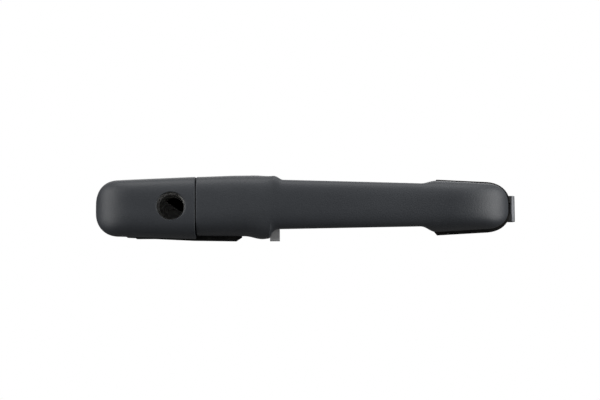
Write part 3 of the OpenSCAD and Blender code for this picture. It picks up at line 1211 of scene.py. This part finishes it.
def shell(
    bench: Bench, name: str, outer: list[Section], inner: list[Section], steps: int
) -> bpy.types.Object:
    """A closed sheet between two skins with matching sections.

    Args:
        bench: makes the object.
        name: name of the piece.
        outer: sections of the outer skin.
        inner: as many sections of the inner skin.
        steps: parts of each section's arch.

    Returns:
        The object.
    """
    skins = [[s.points(steps) for s in side] for side in (outer, inner)]
    rows, count = len(outer), len(skins[0][0])
    points = [p for side in skins for row in side for p in row]
    inside = rows * count
    faces = []
    for i in range(rows - 1):
        for j in range(count - 1):
            a, b = i * count + j, (i + 1) * count + j
            faces.append((a, b, b + 1, a + 1))
            faces.append((inside + a, inside + a + 1, inside + b + 1, inside + b))
        for j in (0, count - 1):
            a, b = i * count + j, (i + 1) * count + j
            faces.append((a, inside + a, inside + b, b))
    for row in (0, rows - 1):
        base = row * count
        for j in range((count - 1) // 2):
            quad = (base + j, base + j + 1, base + count - 2 - j, base + count - 1 - j)
            for shift in (0, inside):
                corners = tuple(dict.fromkeys(shift + q for q in quad))
                if len(corners) > 2:
                    faces.append(corners)
        faces.append((base, base + count - 1, inside + base + count - 1, inside + base))
    return bench.from_faces(name, points, faces)


def spread(low: float, high: float, count: int) -> list[float]:
    """Count even places from low up to but not at high.

    Args:
        low: first place.
        high: end of the run, left out.
        count: how many places.

    Returns:
        The places.
    """
    return [low + (high - low) * i / count for i in range(count)]


def rounding_steps(edge: float) -> list[float]:
    """Distances from a shell's end at which its rounded edge gets a section.

    Args:
        edge: rounding radius in millimetres, 0 for none.

    Returns:
        The distances.
    """
    return [edge * t for t in (0, 0.04, 0.14, 0.3, 0.52, 0.78)] if edge else spread(0, 0.4, 6)


# ---- sub-assemblies ----


@dataclass
class KeyCap:
    """The fixed cap, its key hole and the lock parts behind it."""

    bench: Bench
    form: HandleForm
    hole_r: float = 8.4
    bore_r: float = 7.3
    rim: float = 1.3
    bezel_y: float = -17.3
    ledge_y: float = -12.6
    front_y: float = -11.0
    sleeve_r: float = 10.0
    sleeve_end_y: float = 22.0
    groove: Point = (3.0, 5.0, 8.6)
    seat_r: float = 5.3
    seat_y: float = 6.2
    shaft_r: float = 3.0
    ring_r: float = 9.5
    cord_r: float = 0.85
    edge_r: float = 0.5
    rows: int = 72
    steps: int = 60

    def _sections(self, inset: float, edge: float) -> list[Section]:
        """Sections of the cap's skin.

        Args:
            inset: distance inside the outer surface.
            edge: rounding of the edge at the parting gap.

        Returns:
            The sections from the gap to the round end.
        """
        form = self.form
        start, length = form.cap_right - inset, form.cap_right - form.cap_left - 2 * inset
        near = rounding_steps(edge)
        far = [length * math.sin(math.radians(88.9) * i / self.rows) for i in range(1, self.rows + 1)]
        made = []
        for distance in near + far:
            x = start - distance
            full = inset + eased(distance, edge)
            half = form.cap_half(x, full)
            face = form.cap_face(x, full)
            made.append(Section(x, half, half, face, -form.skin_gap, form.cap_skirt, form.dome_power))
        return made

    def build(self) -> None:
        """Builds the cap and everything seen through its key hole."""
        bench, r = self.bench, self.hole_r
        outer, inner = self._sections(0, self.edge_r), self._sections(self.form.wall, 0)
        cap = shell(bench, "key_cap", outer, inner, self.steps)
        flare = [(0, -12), (r, -12), (r, -20.3), (r + 0.12, -20.55), (r + 0.4, -20.8), (r + 1.1, -21.2),
                 (r + 1.1, -30), (0, -30)]
        bench.cut(cap, bench.turned("hole_cutter", flare, 128))
        bench.place(cap, Body.CARRIER, Slot.GRAINED, "lock_cap")
        self._bezel()
        self._sleeve()
        self._coupling()
        turns = [math.tau * k / 16 for k in range(16)]
        ring = bench.turned("seal_ring", [
            (self.ring_r + self.cord_r * math.cos(turn), 4 + self.cord_r * math.sin(turn)) for turn in turns])
        bench.place(ring, Body.CARRIER, Slot.RUBBER, "sleeve_ring")

    def _bezel(self) -> None:
        """Builds the stepped ring at the bottom of the key hole."""
        bench, r, bore = self.bench, self.hole_r, self.bore_r
        outline = rounded([
            (r + self.rim, self.bezel_y), (r + self.rim, self.front_y), (bore + 0.2, self.front_y),
            (bore + 0.2, self.ledge_y + 0.8), (bore + 0.75, self.ledge_y), (r, self.ledge_y),
            (r, self.bezel_y)], 0.12)
        bezel = bench.turned("key_bezel", outline, 128)
        notch = bench.from_faces(*block("notch_cutter", (-0.9, -13.6, 6), (0.9, 0, r - 0.05)))
        bench.cut(bezel, notch)
        bench.place(bezel, Body.CARRIER, Slot.BLACKENED, "lock_bezel")

    def _sleeve(self) -> None:
        """Builds the sleeve with its seal groove."""
        bench, bore = self.bench, self.bore_r
        out, end, hole, seat = self.sleeve_r, self.sleeve_end_y, self.shaft_r + 0.05, self.seat_r
        start, stop, deep = self.groove
        outline = rounded([
            (bore, self.front_y), (out, self.front_y), (out, start), (deep, start), (deep, stop),
            (out, stop), (out, end), (hole, end), (hole, end - 3), (seat, end - 3), (seat, self.seat_y),
            (bore, self.seat_y)], 0.2)
        sleeve = bench.turned("lock_sleeve_turned", outline, 96)
        dimple = bench.turned("dimple_cutter", [(0, -12), (2, -12), (2, -7.6), (0, -7.6)], 32)
        aside = Matrix.Rotation(math.radians(-90), 4, "Z")
        dimple.data.transform(Matrix.Translation((0, 16 * MM, 0)) @ aside)
        bench.cut(sleeve, dimple)
        bench.place(sleeve, Body.CARRIER, Slot.BLACKENED, "lock_sleeve")

    def _coupling(self) -> None:
        """Builds the coupling that the barrel's tail turns."""
        bench, shaft, disc = self.bench, self.shaft_r, self.seat_r - 0.08
        front, end, neck = self.seat_y + 0.5, 33.0, self.shaft_r - 0.6
        outline = rounded([
            (0, front), (disc, front), (disc, 12), (shaft, 12), (shaft, end - 1.7), (neck, end - 1.7),
            (neck, end - 0.8), (shaft, end - 0.8), (shaft, end), (0, end)], 0.25)
        coupling = bench.turned("lock_coupling_turned", outline, 64)
        slot = bench.from_faces(*block("slot_cutter", (-3.6, 5, -0.8), (3.6, 8.6, 0.8)))
        bench.cut(coupling, slot)
        bench.place(coupling, Body.COUPLING, Slot.BLACKENED, "lock_coupling")


def block(name: str, low: Point, high: Point) -> tuple[str, list[Point], list[tuple[int, ...]]]:
    """Name, points and faces of a cutter with straight sides.

    Args:
        name: name of the cutter.
        low: its lowest corner.
        high: its highest corner.

    Returns:
        What Bench.from_faces takes.
    """
    points = [(x, y, z) for x in (low[0], high[0]) for y in (low[1], high[1]) for z in (low[2], high[2])]
    faces = [(0, 1, 3, 2), (4, 6, 7, 5), (0, 4, 5, 1), (2, 3, 7, 6), (0, 2, 6, 4), (1, 5, 7, 3)]
    return name, points, faces


@dataclass
class Grab:
    """The pull bar: its two shells and what joins them."""

    bench: Bench
    form: HandleForm
    edge_r: float = 0.5
    steps: int = 60
    inner_left: float = 56.0
    inner_right: float = 154.0
    inner_inset: float = 0.7
    inner_steps: int = 40

    def _places(self, inset: float, edge: float) -> list[tuple[float, float]]:
        """X and rounding of every section of the outer shell.

        Args:
            inset: distance inside the outer surface.
            edge: rounding of the edge at the parting gap.

        Returns:
            (X, extra inset) pairs.
        """
        form = self.form
        start = form.grab_left + inset
        made = [(start + d, eased(d, edge)) for d in rounding_steps(edge)]
        plain = spread(start + max(edge, 0.5), 42, 10) + spread(42, 59.4, 20) + spread(59.4, 61, 12)
        plain += spread(61, 72, 18) + spread(72, 142, 22) + spread(142, 166, 26)
        plain += spread(166, form.front_round_x, 12)
        reach = form.grab_right - form.front_round_x - inset
        plain += [form.front_round_x + reach * math.sin(math.radians(88.8) * i / 26) for i in range(27)]
        return made + [(x, 0.0) for x in plain]

    def _outer(self, inset: float, edge: float) -> list[Section]:
        """Sections of the outer shell's skin, as for the cap.

        Args:
            inset: distance inside the outer surface, in millimetres.
            edge: rounding of the edge at the parting gap.

        Returns:
            The sections from the gap to the round end.
        """
        form, made = self.form, []
        for x, extra in self._places(inset, edge):
            full = inset + extra
            made.append(Section(
                x, form.grab_top(x, full), form.grab_bottom(x, full), form.grab_face(x, full),
                form.parting(x), form.skirt(x), form.dome_power))
        return made

    def _inner(self, inset: float) -> list[Section]:
        """Sections of the inner shell's skin, as for the cap.

        Args:
            inset: distance inside the outer surface, in millimetres.

        Returns:
            The sections from its rear to its front end.
        """
        form, made = self.form, []
        left, right = self.inner_left + inset, self.inner_right - inset
        places = spread(left, 61, 14) + spread(61, 72, 16) + spread(72, 140, 18) + spread(140, right, 20)
        for x in places + [right]:
            full = inset + self.inner_inset
            made.append(Section(
                x, form.grab_top(x, full), form.grab_bottom(x, full), form.finger_side(x) - inset,
                form.parting(x) + 0.3, 0, 3.0))
        return made

    def build(self) -> None:
        """Builds the two shells and refines the parts between them."""
        bench = self.bench
        skins = self._outer(0, self.edge_r), self._outer(self.form.wall, 0)
        outer = shell(bench, "grab_skin", *skins, self.steps)
        bench.place(outer, Body.GRAB, Slot.GRAINED, "grab_outer_shell")
        inner = shell(bench, "finger_skin", self._inner(0), self._inner(2), self.inner_steps)
        cutters = []
        for x in SHELL_SCREWS:
            for name, radius, front in (("recess_cutter", 3.3, SHELL_SEAT_Y), ("screw_cutter", 2, -20)):
                outline = [(0, front), (radius, front), (radius, -5), (0, -5)]
                cutters.append(bench.turned(name, outline, 48, (x, 0)))
        bench.cut(inner, *cutters)
        bench.place(inner, Body.GRAB, Slot.FRAME, "grab_inner_shell")
        bench.refined("grab_core", Body.GRAB, Slot.FRAME, 0.25)
        bench.refined("pull_leg", Body.GRAB, Slot.ZINC, 0.35)
        bench.refined("front_hook", Body.GRAB, Slot.ZINC, 0.45, 3)


class Growth(Graph):
    """A geometry tree with named inputs, ended by one material."""

    def __init__(self, name: str, inputs: dict[str, str]) -> None:
        """Starts the tree.

        Args:
            name: the tree's name.
            inputs: input name to socket type.
        """
        super().__init__(bpy.data.node_groups.new(name, "GeometryNodeTree"))
        face = self.tree.interface
        face.new_socket("Geometry", in_out="INPUT", socket_type="NodeSocketGeometry")
        for key, kind in inputs.items():
            face.new_socket(key, in_out="INPUT", socket_type=kind)
        face.new_socket("Finish", in_out="INPUT", socket_type="NodeSocketMaterial")
        face.new_socket("Geometry", in_out="OUTPUT", socket_type="NodeSocketGeometry")
        self.given = self.node("NodeGroupInput").outputs

    def close(self, geometry: bpy.types.NodeSocket) -> None:
        """Ends the tree in plain geometry with its material.

        Args:
            geometry: what the tree has made.
        """
        real = self.node("GeometryNodeRealizeInstances", {}, {"Geometry": geometry})
        dressed = self.node(
            "GeometryNodeSetMaterial", {}, {"Geometry": real.outputs[0], "Material": self.given["Finish"]}
        )
        self.node("NodeGroupOutput", {}, {0: dressed.outputs[0]})

    def grow(self, bench: Bench, name: str, points: list[Point], edges: list[tuple[int, int]],
             values: dict[str, object]) -> bpy.types.Object:
        """Runs the tree on a few points and returns plain mesh.

        Args:
            bench: makes the object.
            name: name of the piece.
            points: the points, in millimetres.
            edges: edges between them.
            values: input name to value.

        Returns:
            The object.
        """
        mesh = bpy.data.meshes.new(name)
        mesh.from_pydata([Vector(p) * MM for p in points], edges, [])
        made = bench.thing(name, mesh)
        step = made.modifiers.new("grow", "NODES")
        step.node_group = self.tree
        keys = {
            item.name: item.identifier
            for item in self.tree.interface.items_tree
            if item.item_type == "SOCKET" and item.in_out == "INPUT"
        }
        for key, value in values.items():
            step[keys[key]] = value
        bench.settle(made)
        return made


@dataclass
class Fasteners:
    """Screws and inserts, grown on their seats."""

    bench: Bench

    def _tree(self) -> Growth:
        """A screw on every point: head up along +Z, shank down.

        Returns:
            The tree.
        """
        sizes = dict.fromkeys(
            ["Head Radius", "Head Height", "Shank Radius", "Shank Length", "Recess Radius", "Pitch"],
            "NodeSocketFloat",
        )
        tree = Growth("screws_on_seats", {**sizes, "Turn": "NodeSocketVector"})
        given = tree.given

        def maths(operation: str, a: object, b: object) -> bpy.types.NodeSocket:
            """One Math node's result.

            Args:
                operation: the operation.
                a: first operand.
                b: second operand.

            Returns:
                The node's result.
            """
            return tree.node("ShaderNodeMath", {"operation": operation}, {0: a, 1: b}).outputs[0]

        def at_height(geometry: bpy.types.NodeSocket, z: object) -> bpy.types.NodeSocket:
            """Geometry moved up by z.

            Args:
                geometry: what is moved.
                z: how far up.

            Returns:
                The moved geometry.
            """
            move = tree.node("ShaderNodeCombineXYZ", {}, {"Z": z}).outputs[0]
            return tree.node(
                "GeometryNodeTransform", {}, {"Geometry": geometry, "Translation": move}
            ).outputs[0]

        def drum(radius: object, top: object, depth: object, sides: int = 32) -> bpy.types.NodeSocket:
            """A drum from z = 0 up to depth, narrowing to top.

            Args:
                radius: radius at its foot.
                top: radius at its top.
                depth: its height.
                sides: facets round it.

            Returns:
                The drum.
            """
            made = tree.node(
                "GeometryNodeMeshCone",
                {"fill_type": "NGON"},
                {"Vertices": sides, "Radius Bottom": radius, "Radius Top": top, "Depth": depth},
            )
            return made.outputs[0]

        head_r, head_h = given["Head Radius"], given["Head Height"]
        crown_h = maths("MULTIPLY", head_h, 0.3)
        body_h = maths("MULTIPLY", head_h, 0.7)
        body = drum(head_r, head_r, body_h)
        crown = at_height(drum(head_r, maths("MULTIPLY", head_r, 0.82), crown_h), body_h)
        recess_depth = maths("MULTIPLY", head_h, 0.62)
        recess = at_height(
            drum(given["Recess Radius"], given["Recess Radius"], head_h, 6),
            maths("SUBTRACT", head_h, recess_depth),
        )
        solid = tree.node("GeometryNodeMeshBoolean", {"operation": "UNION"})
        for part in (body, crown):
            tree.tree.links.new(part, solid.inputs["Mesh 2"])
        head = tree.node(
            "GeometryNodeMeshBoolean",
            {"operation": "DIFFERENCE"},
            {"Mesh 1": solid.outputs[0], "Mesh 2": recess},
        ).outputs[0]
        length = given["Shank Length"]
        root = maths("MULTIPLY", given["Shank Radius"], 0.86)
        shank = at_height(drum(root, root, length), maths("MULTIPLY", length, -1.0))
        turns = maths("DIVIDE", maths("MULTIPLY", length, 0.8), given["Pitch"])
        helix = tree.node(
            "GeometryNodeCurveSpiral",
            {},
            {
                "Resolution": 24,
                "Rotations": turns,
                "Start Radius": maths("MULTIPLY", given["Shank Radius"], 0.9),
                "End Radius": maths("MULTIPLY", given["Shank Radius"], 0.9),
                "Height": maths("MULTIPLY", length, 0.8),
            },
        ).outputs[0]
        thread_profile = tree.node(
            "GeometryNodeCurvePrimitiveCircle",
            {"mode": "RADIUS"},
            {"Resolution": 4, "Radius": maths("MULTIPLY", given["Shank Radius"], 0.1)},
        ).outputs[0]
        thread = tree.node(
            "GeometryNodeCurveToMesh", {},
            {"Curve": helix, "Profile Curve": thread_profile, "Fill Caps": True}
        ).outputs[0]
        thread = at_height(thread, maths("MULTIPLY", length, -0.97))
        whole = tree.node("GeometryNodeJoinGeometry")
        for part in (head, shank, thread):
            tree.tree.links.new(part, whole.inputs[0])
        spread_out = tree.node(
            "GeometryNodeInstanceOnPoints",
            {},
            {"Points": given["Geometry"], "Instance": whole.outputs[0], "Rotation": given["Turn"]},
        )
        tree.close(spread_out.outputs[0])
        return tree

    def build(self) -> None:
        """Grows every set of screws, and refines the inserts and the nut."""
        tree = self._tree()
        outward, inward = math.radians(90), math.radians(-90)
        sets = [
            ("seat_screw_set", "seat_screws", Body.CARRIER, [(22, -3.2, z) for z in (-9.6, 9.6)],
             (2.9, 1.6, 1.45, 7.8, 1.1), outward),
            ("core_screw_set", "core_screws", Body.GRAB, [(x, -11.4, 0) for x in (36, 46, 168, 178)],
             (3.0, 1.8, 1.55, 6.0, 1.2), inward),
            ("shell_screw_set", "shell_screws", Body.GRAB, [(x, SHELL_SEAT_Y, 0) for x in SHELL_SCREWS],
             (3.0, 1.1, 1.55, 5.0, 1.2), inward),
        ]
        for name, node, body, seats, sizes, turn in sets:
            head_r, head_h, shank_r, length, recess = (s * MM for s in sizes)
            piece = tree.grow(self.bench, name, seats, [], {
                "Head Radius": head_r, "Head Height": head_h, "Shank Radius": shank_r,
                "Shank Length": length, "Recess Radius": recess, "Pitch": 0.7 * MM,
                "Turn": (turn, 0.0, 0.0), "Finish": self.bench.finishes.made[Slot.STEEL]})
            self.bench.tidy(piece, turn=False)
            self.bench.place(piece, body, Slot.STEEL, node)
        clamp = tree.grow(self.bench, "clamp_screw", [(-33.8, 16, 0)], [], {
            "Head Radius": 4.4 * MM, "Head Height": 3.6 * MM, "Shank Radius": 2.5 * MM,
            "Shank Length": 25.8 * MM, "Recess Radius": 2.3 * MM, "Pitch": 0.8 * MM,
            "Turn": (0.0, inward, 0.0), "Finish": self.bench.finishes.made[Slot.STEEL]})
        self.bench.tidy(clamp, turn=False)
        self.bench.place(clamp, Body.CARRIER, Slot.STEEL, "cap_screw")
        self.bench.refined("fixing_inserts", Body.CARRIER, Slot.BRASS, 0.25)
        self.bench.refined("clamp_nut", Body.CARRIER, Slot.STEEL, 0.3)


@dataclass
class Springs:
    """The two wound springs."""

    bench: Bench
    wire_r: float = 0.4
    coil_r: float = 4.2

    def _tree(self) -> Growth:
        """A coil about +Z with its legs on the given edges.

        Returns:
            The tree.
        """
        tree = Growth("wound_spring", {
            "Coil Radius": "NodeSocketFloat", "Wire Radius": "NodeSocketFloat",
            "Turns": "NodeSocketFloat", "Height": "NodeSocketFloat"})
        given = tree.given
        coil = tree.node("GeometryNodeCurveSpiral", {}, {
            "Resolution": 40, "Rotations": given["Turns"], "Start Radius": given["Coil Radius"],
            "End Radius": given["Coil Radius"], "Height": given["Height"]}).outputs[0]
        turned = tree.node("GeometryNodeTransform", {}, {
            "Geometry": coil, "Rotation": (0.0, 0.0, math.radians(90))}).outputs[0]
        legs = tree.node("GeometryNodeMeshToCurve", {}, {0: given["Geometry"]}).outputs[0]
        lines = tree.node("GeometryNodeJoinGeometry")
        for part in (turned, legs):
            tree.tree.links.new(part, lines.inputs[0])
        profile = tree.node("GeometryNodeCurvePrimitiveCircle", {"mode": "RADIUS"}, {
            "Resolution": 12, "Radius": given["Wire Radius"]}).outputs[0]
        wire = tree.node("GeometryNodeCurveToMesh", {}, {
            "Curve": lines.outputs[0], "Profile Curve": profile, "Fill Caps": True})
        tree.close(wire.outputs[0])
        return tree

    def build(self) -> None:
        """Grows both springs."""
        tree, r = self._tree(), self.coil_r
        sets = [
            ("lever_return_spring", "lever_spring", 5.0, 4.6,
             [(-11.7, r, 0), (0, r, 0), (0, r, 4.6), (4, r, 4.6), (8.5, r + 2, 4.6)],
             [(0, 1), (2, 3), (3, 4)],
             Matrix(((0, 0, 1, 35.2 * MM), (1, 0, 0, 18 * MM), (0, 1, 0, -11 * MM), (0, 0, 0, 1)))),
            ("coupling_centring_spring", "coupling_spring", 4.0, 4.4,
             [(0, r, 0), (4, r, 0), (7, r + 1, 0), (-8.4, r, 4.4), (0, r, 4.4)],
             [(0, 1), (1, 2), (3, 4)],
             Matrix(((1, 0, 0, 0), (0, 0, -1, 27.1 * MM), (0, 1, 0, 0), (0, 0, 0, 1)))),
        ]
        for name, node, turns, height, points, edges, place in sets:
            piece = tree.grow(self.bench, name, points, edges, {
                "Coil Radius": r * MM, "Wire Radius": self.wire_r * MM, "Turns": turns,
                "Height": height * MM, "Finish": self.bench.finishes.made[Slot.SPRING]})
            piece.data.transform(place)
            self.bench.tidy(piece, turn=False)
            self.bench.place(piece, Body.CARRIER, Slot.SPRING, node)


@dataclass
class Carrier:
    """The moulded carrier with its seat, gaskets and pins."""

    bench: Bench

    def build(self) -> None:
        """Refines the fixed parts."""
        bench, body = self.bench, Body.CARRIER
        bench.refined("carrier_frame", body, Slot.FRAME, 0.35)
        bench.refined("rear_seat", body, Slot.SEAT, 0.3)
        bench.refined("rear_gasket", body, Slot.RUBBER, 0.15)
        bench.refined("front_gasket", body, Slot.RUBBER, 0.15)
        bench.refined("rest_buffers", body, Slot.RUBBER, 0.4, 3)
        bench.refined("lever_pin", body, Slot.STEEL, 0.2)
        bench.refined("pin_clips", body, Slot.STEEL, 0.1)


@dataclass
class LeverWork:
    """The release lever, its rod clip and the lock lever."""

    bench: Bench

    def build(self) -> None:
        """Refines the levers."""
        bench = self.bench
        bench.refined("release_lever", Body.BELLCRANK, Slot.ZINC, 0.3)
        bench.refined("rod_clip", Body.BELLCRANK, Slot.CLIP, 0.35, 3)
        bench.refined("lock_lever", Body.COUPLING, Slot.STEEL, 0.25)
        bench.refined("coupling_clip", Body.COUPLING, Slot.SPRING, 0.12)


@dataclass
class Studio:
    """Floor, light and camera."""

    lens: float = 115.0
    distance: float = 1.15
    elevation: float = -6.5
    roll: float = -0.3
    target: Point = (0.077, -0.010, 0.0042)
    floor_z: float = -0.6
    floor_reach: float = 3.0
    floor_shade: float = 0.14

    def build(self) -> None:
        """Builds the whole studio."""
        self._camera()
        self._floor()
        self._world()
        self._lights()
        bpy.context.scene.view_settings.view_transform = "Standard"

    def _camera(self) -> None:
        """Places the camera a little below the handle."""
        data = bpy.data.cameras.new("camera")
        data.lens = self.lens
        data.sensor_width = 36.0
        data.clip_start, data.clip_end = 0.05, 20.0
        camera = bpy.data.objects.new("camera", data)
        bpy.context.scene.collection.objects.link(camera)
        tilt = math.radians(self.elevation)
        back = Vector((0.0, -math.cos(tilt), math.sin(tilt)))
        camera.rotation_mode = "QUATERNION"
        turn = (-back).to_track_quat("-Z", "Y").to_matrix().to_4x4()
        turn = turn @ Matrix.Rotation(math.radians(self.roll), 4, "Z")
        camera.matrix_world = Matrix.Translation(Vector(self.target) + back * self.distance) @ turn
        bpy.context.scene.camera = camera

    def _floor(self) -> None:
        """Lays the pale floor."""
        mesh = bpy.data.meshes.new("floor")
        reach, z = self.floor_reach, self.floor_z
        corners = [(-reach, -reach, z), (reach, -reach, z), (reach, reach, z), (-reach, reach, z)]
        mesh.from_pydata(corners, [], [(0, 1, 2, 3)])
        floor = Bench.thing("floor", mesh)
        paint = Paint("pale_floor")
        cloud = paint.noise(4.0, 2.0)
        pale = paint.tint(cloud, (0.78, 0.78, 0.78), (0.84, 0.84, 0.84))
        seen = paint.node("ShaderNodeLightPath").outputs["Is Camera Ray"]
        shade = paint.node(
            "ShaderNodeMix", {"data_type": "RGBA"}, {0: seen, 6: (*[self.floor_shade] * 3, 1), 7: pale})
        floor.data.materials.append(paint.finish({
            "Base Color": shade.outputs[2], "Roughness": 0.9, "Specular IOR Level": 0.1}))

    def _world(self) -> None:
        """A pale room that is brighter above than below."""
        world = bpy.data.worlds.new("room")
        world.use_nodes = True
        graph = Graph(world.node_tree)
        graph.tree.nodes.clear()
        way = graph.node("ShaderNodeTexCoord").outputs["Generated"]
        height = graph.node("ShaderNodeSeparateXYZ", {}, {0: way}).outputs[2]
        place = graph.node("ShaderNodeMapRange", {}, {"Value": height, "From Min": -1.0, "From Max": 1.0})
        ramp = graph.node("ShaderNodeValToRGB", {"stops": [
            (0.0, (0.12, 0.12, 0.12)), (0.48, (0.08, 0.08, 0.084)), (0.62, (0.08, 0.085, 0.094)),
            (0.8, (0.5, 0.5, 0.51)), (1.0, (0.8, 0.8, 0.8))]}, {0: place.outputs[0]})
        seen = graph.node("ShaderNodeLightPath").outputs["Is Camera Ray"]
        shade = graph.node(
            "ShaderNodeMix", {"data_type": "RGBA"}, {0: seen, 6: ramp.outputs[0], 7: (1, 1, 1, 1)})
        back = graph.node("ShaderNodeBackground", {}, {"Color": shade.outputs[2], "Strength": 1.0})
        graph.node("ShaderNodeOutputWorld", {}, {"Surface": back.outputs[0]})
        bpy.context.scene.world = world

    def _lights(self) -> None:
        """Hangs the soft lights."""
        for name, place, size, power, aim in (
            ("top_softbox", (0.08, -0.25, 0.75), (0.9, 0.5), 3.6, (0.08, 0.0, 0.0)),
            ("left_softbox", (-0.8, -0.35, 0.14), (0.7, 0.7), 6.4, (0.0, 0.0, 0.0)),
            ("right_softbox", (0.98, -0.33, 0.14), (0.75, 0.7), 9.5, (0.17, 0.0, 0.0)),
            ("back_softbox", (0.08, 0.8, 0.5), (0.9, 0.5), 2.0, (0.08, 0.0, 0.0)),
        ):
            data = bpy.data.lights.new(name, "AREA")
            data.shape = "RECTANGLE"
            data.size, data.size_y = size
            data.energy = power
            lamp = bpy.data.objects.new(name, data)
            bpy.context.scene.collection.objects.link(lamp)
            lamp.rotation_mode = "QUATERNION"
            lamp.location = place
            lamp.rotation_quaternion = (Vector(aim) - Vector(place)).to_track_quat("-Z", "Y")


def main() -> None:
    """Builds the studio and the handle, sub-assembly by sub-assembly."""
    logging.basicConfig(level=logging.INFO, format="%(name)s: %(message)s")
    Studio().build()
    bench = Bench(Finishes())
    form = HandleForm()
    for part in (KeyCap(bench, form), Grab(bench, form), Carrier(bench), LeverWork(bench),
                 Fasteners(bench), Springs(bench)):
        part.build()
        LOG.info("%s is built", type(part).__name__)


if __name__ == "__main__":
    main()
